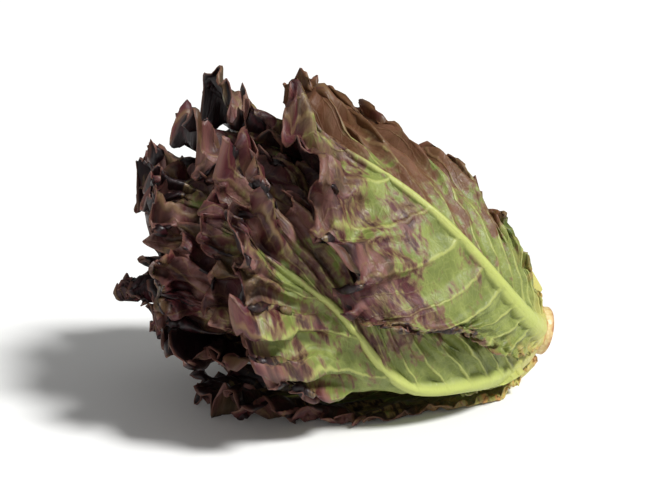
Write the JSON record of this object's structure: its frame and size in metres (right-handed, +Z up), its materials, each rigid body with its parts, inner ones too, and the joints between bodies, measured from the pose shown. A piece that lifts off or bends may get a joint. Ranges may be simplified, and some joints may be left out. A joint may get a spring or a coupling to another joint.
{
  "type": "red leaf lettuce",
  "caption": "Head of red leaf lettuce on its side: broad ribbed green leaves on a short cut stem, opening into frilled purple-brown tips.",
  "frame": {"origin": "on the ground, at the middle of the bounding box's foot", "axes": "+X along the head from the frilled tips to the cut butt, +Z up"},
  "size_m": [0.2758, 0.2576, 0.2082],
  "materials": {
    "stem": "pale crisp flesh, with an orange-brown skin where it was cut",
    "outer_leaf": "pale green at the midrib, purple-brown at the frill, waxy sheen",
    "middle_leaf": "green inside the head, purple-brown where it saw light, waxy sheen",
    "heart_leaf": "young leaf, green with a dark red frill, waxy sheen"
  },
  "bodies": {
    "root": {"stem": "stem", "outer_leaf_01": "outer_leaf", "outer_leaf_02": "outer_leaf", "outer_leaf_03": "outer_leaf", "outer_leaf_04": "outer_leaf", "outer_leaf_05": "outer_leaf", "middle_leaf_06": "middle_leaf", "middle_leaf_07": "middle_leaf", "middle_leaf_08": "middle_leaf", "middle_leaf_09": "middle_leaf", "middle_leaf_10": "middle_leaf", "heart_leaf_11": "heart_leaf", "heart_leaf_12": "heart_leaf", "heart_leaf_13": "heart_leaf", "heart_leaf_14": "heart_leaf", "heart_leaf_15": "heart_leaf"}
  },
  "joints": []
}
